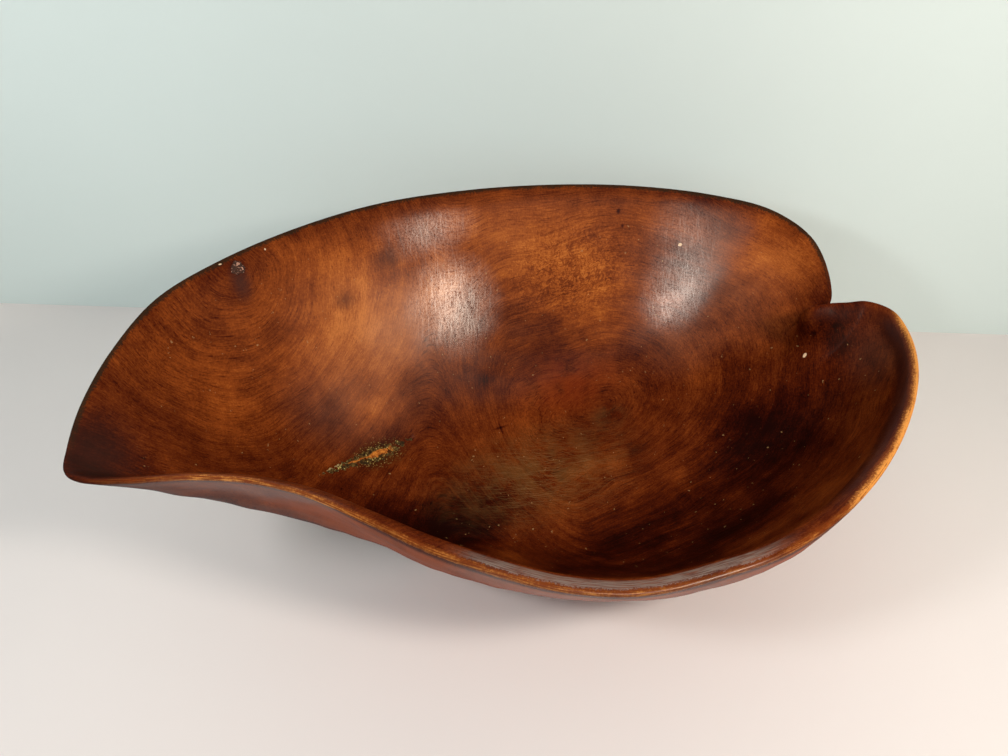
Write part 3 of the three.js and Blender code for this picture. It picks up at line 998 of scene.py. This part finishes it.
# %% [markdown]
# ## Bark left in the wood
# Low on the wall the carver met a pocket of bark and left it. It is a ragged, shallow crust with a
# streak of raw wood torn open in it and pale grains of resin. The points of the piece will carry
# how far along and how far to the side they lie, and the streak is a band between such distances.

# %% Bark crust
bark_crust, bark_shader, bark_at = new_finish("bark_crust")
crumbs = bark_at.speckle(420.0, 4.0, 0.7)
clods = bark_at.speckle(150.0, 3.0, 0.6)
grains = bark_at.speckle(900.0, 1.0, 0.5).between(0.6, 0.66) * clods.between(0.42, 0.58)
bark_tones = [
    (0.34, (0.012, 0.006, 0.002)),
    (0.5, (0.05, 0.024, 0.006)),
    (0.66, (0.15, 0.085, 0.02)),
]
bark_colour = crumbs.scale_of(bark_tones)
bark_colour = overlaid(bark_colour, grains, (0.55, 0.42, 0.13))
strip_along = bark_at.carried("strip_along")
strip_side = bark_at.carried("strip_side")
ragged_side = strip_side + (crumbs - 0.5) * 0.5 + (clods - 0.5) * 0.6
narrow = strip_along.between(0.66, 0.56) * 0.12
torn = (ragged_side - narrow).between(-0.26, -0.18) * (ragged_side + narrow).between(0.26, 0.18)
torn = torn * strip_along.between(0.36, 0.4) * strip_along.between(0.84, 0.78)
raw_wood = crumbs.between(0.35, 0.62).blend((0.24, 0.05, 0.006), (0.62, 0.21, 0.03))
bark_colour = overlaid(bark_colour, torn, raw_wood)
hook = ragged_side.between(0.15, 0.3) * ragged_side.between(0.75, 0.55)
hook = hook * strip_along.between(0.34, 0.26) * strip_along.between(0.04, 0.1)
bark_colour = overlaid(bark_colour, hook * 0.7, (0.42, 0.29, 0.12))
bark_height = crumbs + grains * 0.4
bark_dents = bark_height.relief(0.9, 0.6 * MM)
feed(bark_shader, Base_Color=bark_colour, Roughness=0.55 + crumbs * 0.3, Normal=bark_dents)
bark_shader.inputs["Specular IOR Level"].default_value = 0.12
print("bark crust:", len(bark_crust.node_tree.nodes), "nodes")

# %% [markdown]
# ## The crust as a strip
# The piece is a closed strip that follows the line of the pocket. Its top bulges and is broken up
# by quick noise, and the wood's skin is dented there, so the crust breaks through the skin along an
# uneven edge.

# %% The bark pocket
def bark_strip(count_across):
    """A closed strip: across it goes from one edge over the top to the other and back below."""
    along = bark_along[None, :]
    side = np.linspace(-1, 1, count_across)[:, None]
    tangent = unit(np.gradient(bark_middle, axis=0))
    out = off_the_wall(bark_place, bark_depth)
    across = unit(np.cross(out, tangent))
    flat = bark_middle + across * (side * bark_half)[..., None]
    rough = 0.5 * swell(flat, wave_mm=5.5, seed=5) + 0.5 * swell(flat, wave_mm=2.6, seed=6)
    edge = np.sqrt(np.clip(1 - side**2, 0, 1)) * np.sin(np.pi * np.clip(along, 0.02, 0.98)) ** 0.4
    top = flat + out * ((edge * 1.2 - 1.65 + rough * 1.3 * edge) * MM)[..., None]
    under = flat - out * ((1.8 + 1.2 * edge) * MM)[..., None]
    around = np.concatenate([side, side[-2:0:-1]]) + 0 * along
    return np.concatenate([top, under[-2:0:-1]]), around


loop, around = bark_strip(30)
forward = bark_along + 0 * around
strip = np.swapaxes(loop, 0, 1)[::-1]
bark = closed_skin("bark_pocket", strip, strip[0].mean(axis=0), strip[-1].mean(axis=0))
for name, values, ends in (("strip_side", around, [0, 0]), ("strip_along", forward, [1, 0])):
    carry(bark, name, np.append(values.T[::-1].ravel(), ends))
bark.data.materials.append(bark_crust)
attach(bark, "root")
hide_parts("bark_inclusion")

# %% [markdown]
# ## The knot under the high rim
# A small dead branch shows as a dark red plug with its own year rings and pale cracks. The rings
# follow the distance from the plug's middle, as they do in the bowl's own wood.

# %% Knot wood
knot_wood, knot_shader, knot_at = new_finish("knot_wood")
knot_distance = knot_at.distance(knot_middle_mm, (1, 1, 1))
knot_circles = streaks(knot_at, knot_distance, 2600.0, 120.0)
knot_tones = [
    (0.35, (0.012, 0.005, 0.003)),
    (0.55, (0.05, 0.016, 0.008)),
    (0.72, (0.12, 0.04, 0.018)),
]
knot_colour = knot_circles.scale_of(knot_tones)
cracks = knot_at.speckle(520.0, 2.0, 0.6, 1.4).between(0.58, 0.63)
knot_colour = overlaid(knot_colour, cracks * 0.85, (0.5, 0.26, 0.17))
knot_height = knot_circles - cracks * 0.5
knot_dents = knot_height.relief(0.6, 0.4 * MM)
feed(knot_shader, Base_Color=knot_colour, Roughness=0.42 + knot_circles * 0.2, Normal=knot_dents)
knot_shader.inputs["Specular IOR Level"].default_value = 0.15
print("knot wood:", len(knot_wood.node_tree.nodes), "nodes")

# %% [markdown]
# ## The knot as a plug
# The plug is a disk of rings with an uneven edge and a split across it. It stands a quarter of a
# millimetre over the skin at its edge and sinks a little towards the middle.

# %% The rim knot
plug_foot, plug_shoulder, plug_proud, plug_sink = 2.6 * MM, 0.6 * MM, 0.25 * MM, 0.15 * MM
split_depth = 0.3 * MM


def round_plug(count, ring_count):
    """Rings about an axis: up the side, in over the top, each ring pulled in and out by noise."""
    spot = np.argmin(np.linalg.norm(inner_grid - knot_middle, axis=-1))
    row_at, column_at = np.unravel_index(spot, inner_grid.shape[:2])
    at_knot = (row_at, column_at)
    out = off_the_wall(inner_place[at_knot][None], inner_depth[at_knot][None])[0]
    first = unit(np.cross(out, (0, 0, 1)))
    second = np.cross(out, first)
    turn = np.linspace(0, 2 * np.pi, count, endpoint=False)
    ragged = 1 + 0.1 * np.sin(3 * turn + 0.6) + 0.06 * np.sin(7 * turn)
    top_share = np.linspace(1, 0.04, ring_count)
    share = np.append([1.0, 1.0], top_share)
    top_rise = plug_proud - plug_sink * (1 - top_share**2)
    rise = np.append([-plug_foot, -plug_shoulder], top_rise)
    rise = rise + (inner_grid[at_knot] - knot_middle) @ out
    split = -split_depth * bell(np.sin(turn - 0.7), 0.16) * (share[:, None] < 0.95)
    flat = np.cos(turn)[:, None] * first + np.sin(turn)[:, None] * second
    reach = share[:, None] * ragged * knot_radius
    return knot_middle + flat * reach[..., None] + out * (rise[:, None] + split)[..., None]


plug = round_plug(48, 12)
knot = closed_skin("knot_plug", plug, plug[0].mean(axis=0), plug[-1].mean(axis=0))
knot.data.materials.append(knot_wood)
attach(knot, "root")
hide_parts("rim_knot")
